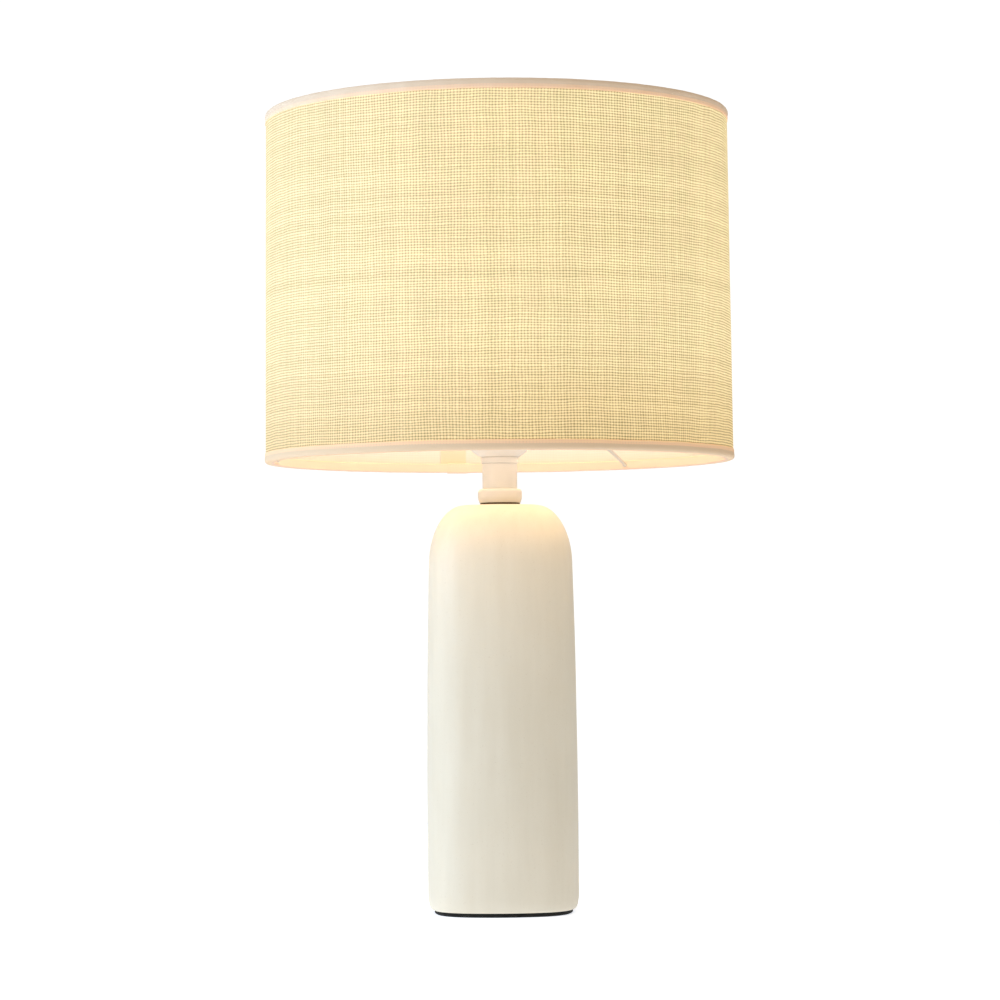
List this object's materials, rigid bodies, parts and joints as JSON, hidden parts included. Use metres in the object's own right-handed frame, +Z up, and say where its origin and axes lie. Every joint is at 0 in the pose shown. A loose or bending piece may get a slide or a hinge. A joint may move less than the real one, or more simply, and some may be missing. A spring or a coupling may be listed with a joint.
{
  "type": "table lamp",
  "caption": "Table lamp: slim soft-square cream ceramic column, short white neck and lampholder, and a wide woven drum shade lit from within.",
  "frame": {"origin": "centre of the underside of the foot pad, on the table", "axes": "+Z up the column and through the shade; the cord inlet is at +Y, the front is -Y, +X to the right seen from the front"},
  "size_m": [0.28, 0.28, 0.4765],
  "materials": {
    "ceramic_glaze": "matt cream glaze, faint brushed mottling",
    "foot_foam": "black foam pad",
    "bush_plastic": "satin",
    "zinc_steel": "zinc plated",
    "gasket_rubber": "matt",
    "white_lacquer": "satin cream-white lacquer",
    "holder_plastic": "semi-gloss moulded",
    "insert_ceramic": "unglazed",
    "contact_brass": "bright",
    "white_wire": "white powder coat",
    "shade_weave": "open plain grid weave in straw-coloured thread",
    "shade_liner": "translucent laminated liner",
    "trim_tape": "plain cotton tape",
    "bulb_metal": "nickel plated",
    "bulb_glass_black": "black insulating glass",
    "bulb_plastic": "satin white",
    "bulb_diffuser": "opal, lit from within",
    "board_aluminium": "white solder mask",
    "led_phosphor": "yellow phosphor",
    "board_resin": "green solder mask"
  },
  "bodies": {
    "lamp_base": {"ceramic_body": "ceramic_glaze", "base_pad": "foot_foam", "cord_bush": "bush_plastic", "threaded_rod": "zinc_steel", "base_plate": "zinc_steel", "bottom_washer": "zinc_steel", "bottom_nut": "zinc_steel", "holder_nut": "zinc_steel", "neck_gasket": "gasket_rubber", "neck_collar": "white_lacquer", "neck_sleeve": "white_lacquer", "neck_ring": "white_lacquer", "holder_cap": "holder_plastic", "holder_skirt": "holder_plastic", "holder_insert": "insert_ceramic", "screw_shell": "contact_brass", "centre_contact": "contact_brass", "terminal_screws": "contact_brass"},
    "shade": {"shade_carrier": "white_wire", "carrier_arm_1": "white_wire", "carrier_arm_2": "white_wire", "carrier_arm_3": "white_wire", "shade_cover": "shade_weave", "shade_liner": "shade_liner", "bottom_ring": "white_wire", "top_ring": "white_wire", "top_trim": "trim_tape", "bottom_trim": "trim_tape"},
    "ring_nut": {"shade_ring_nut": "holder_plastic"},
    "bulb": {"bulb_tip": "bulb_metal", "bulb_insulator": "bulb_glass_black", "bulb_cap": "bulb_metal", "bulb_housing": "bulb_plastic", "bulb_globe": "bulb_diffuser", "led_board": "board_aluminium", "led_chips": "led_phosphor", "driver_board": "board_resin"}
  },
  "joints": [
    {"name": "shade_turn", "type": "hinge", "parent": "lamp_base", "child": "shade", "pos_m": [0, 0, 0.3066], "axis": [0, 0, 1], "continuous": true},
    {"name": "ring_nut_unscrew", "type": "slide", "parent": "lamp_base", "child": "ring_nut", "axis": [0, 0, 1], "range_m": [0, 0.02]},
    {"name": "bulb_lift_out", "type": "slide", "parent": "lamp_base", "child": "bulb", "axis": [0, 0, 1], "range_m": [0, 0.19]}
  ]
}
